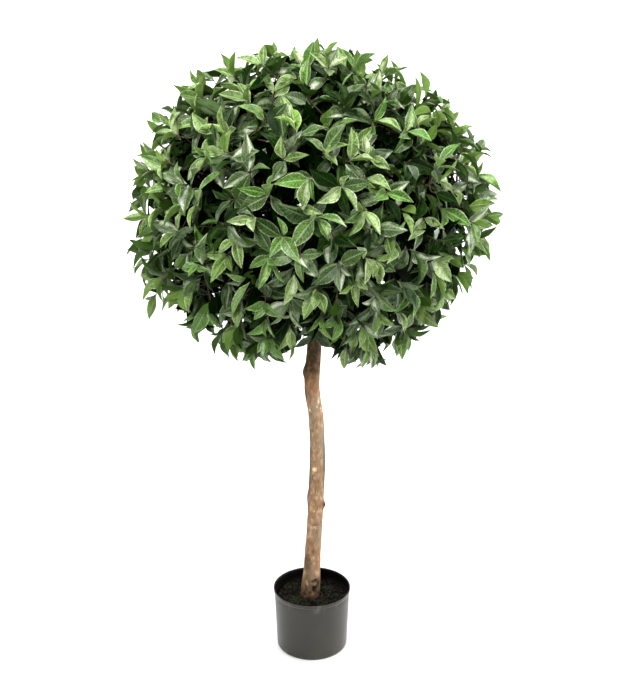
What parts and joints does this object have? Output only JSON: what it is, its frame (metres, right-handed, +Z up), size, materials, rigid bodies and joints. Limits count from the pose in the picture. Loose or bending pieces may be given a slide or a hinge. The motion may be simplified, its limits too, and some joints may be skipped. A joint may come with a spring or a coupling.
{
  "type": "artificial bay laurel ball standard",
  "caption": "Artificial bay laurel standard: a clipped ball of two-tone leaves on a bare, slightly bowed natural stem, set in a round black nursery pot with a dark mossy filling.",
  "frame": {"origin": "centre of the pot's flat underside", "axes": "+Z up along the stem; -Y is the side that the picture shows; +X is to that viewer's right"},
  "size_m": [0.8285, 0.8261, 1.4964],
  "materials": {
    "pot": "satin",
    "filling": "matte",
    "bark": "matte",
    "foliage": "satin"
  },
  "bodies": {
    "root": {"pot": "pot", "pot_filling": "filling", "trunk": "bark", "crown_top": "foliage", "crown_upper_1": "foliage", "crown_upper_2": "foliage", "crown_upper_3": "foliage", "crown_upper_4": "foliage", "crown_middle_1": "foliage", "crown_middle_2": "foliage", "crown_middle_3": "foliage", "crown_middle_4": "foliage", "crown_middle_5": "foliage", "crown_lower_1": "foliage", "crown_lower_2": "foliage", "crown_lower_3": "foliage", "crown_lower_4": "foliage", "crown_skirt_1": "foliage", "crown_skirt_2": "foliage", "crown_skirt_3": "foliage"}
  },
  "joints": []
}
